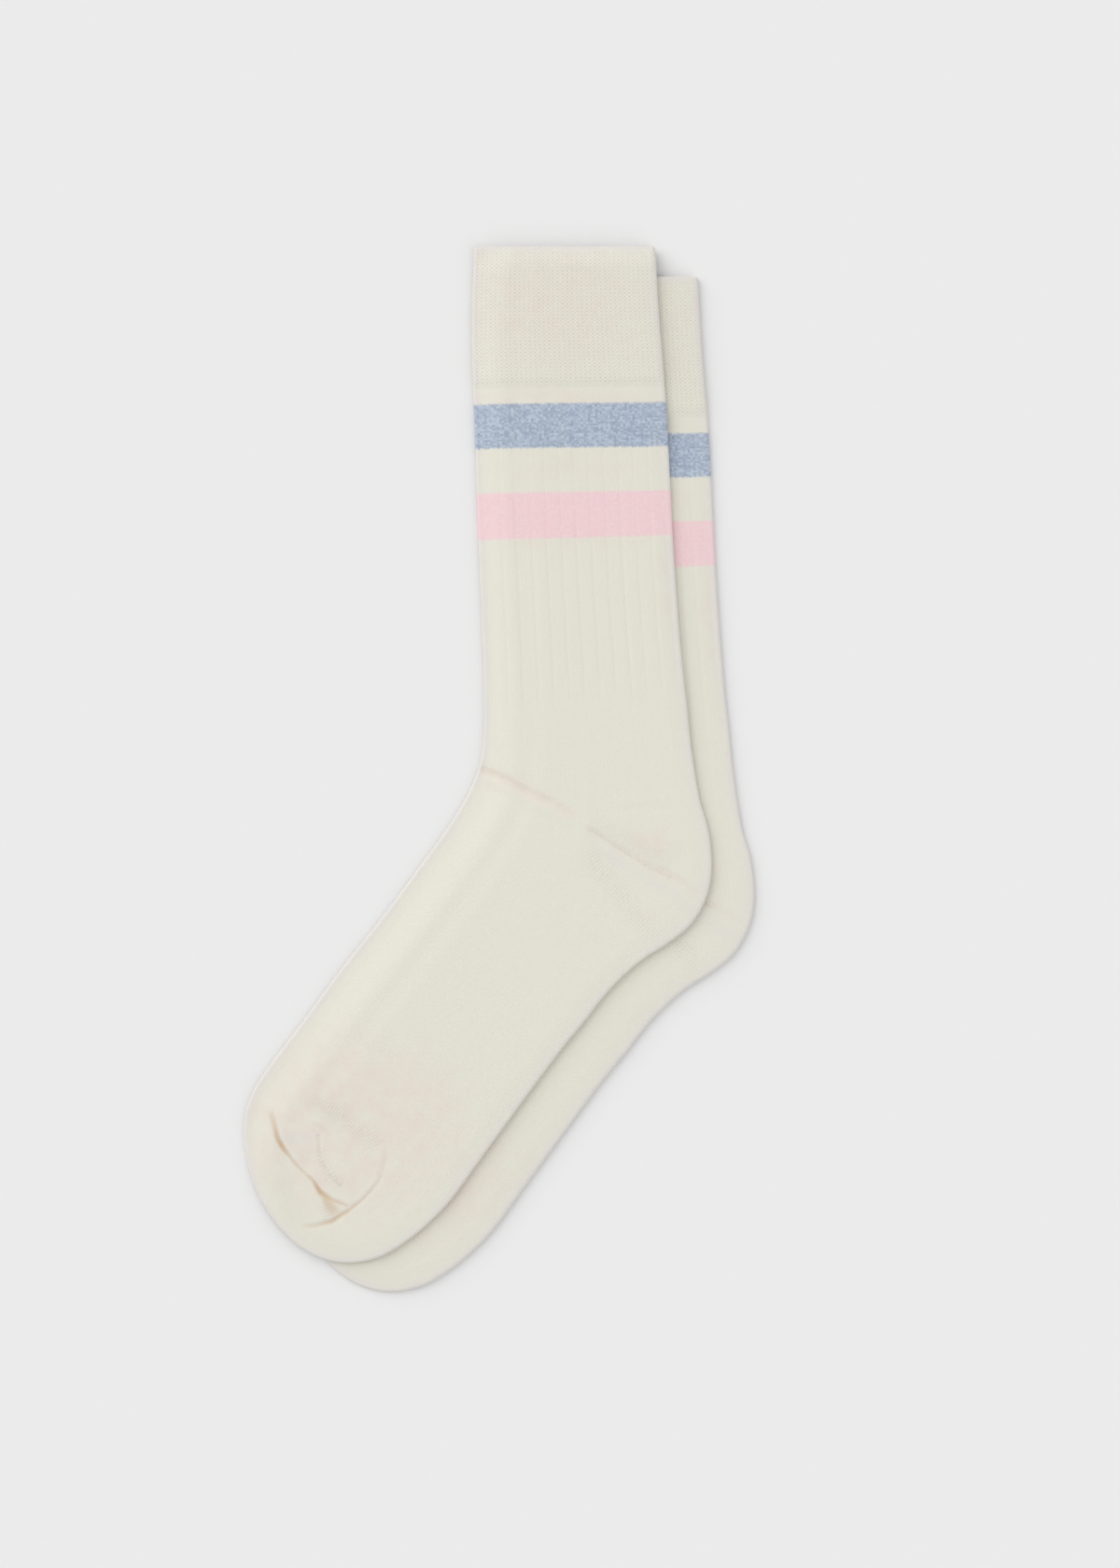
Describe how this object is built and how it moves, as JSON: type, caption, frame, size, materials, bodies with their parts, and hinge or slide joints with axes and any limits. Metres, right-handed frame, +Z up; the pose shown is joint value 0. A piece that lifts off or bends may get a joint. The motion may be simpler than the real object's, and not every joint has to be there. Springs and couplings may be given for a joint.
{
  "type": "pair of socks",
  "caption": "Ribbed crew socks laid flat on their side, one over the other, with double cuffs, striped ribbed legs, heel pockets and seamed toes.",
  "frame": {"origin": "on the surface the socks lie on, under the middle of the pair", "axes": "+Z up from that surface; +Y up the legs towards the cuffs; +X across the legs, from the instep fold to the heel fold"},
  "size_m": [0.2188, 0.4484, 0.0082],
  "materials": {
    "cuff_knit": "matt cream rib with a fine dotted texture, knitted double",
    "plain_knit": "matt cream cotton knit, in ribs on the leg with a light blue and a light pink stripe, plain on the heel, foot and toe"
  },
  "bodies": {
    "root": {"upper_sock_cuff": "cuff_knit", "upper_sock_leg": "plain_knit", "upper_sock_heel": "plain_knit", "upper_sock_foot": "plain_knit", "upper_sock_toe": "plain_knit", "lower_sock_cuff": "cuff_knit", "lower_sock_leg": "plain_knit", "lower_sock_heel": "plain_knit", "lower_sock_foot": "plain_knit", "lower_sock_toe": "plain_knit"}
  },
  "joints": []
}
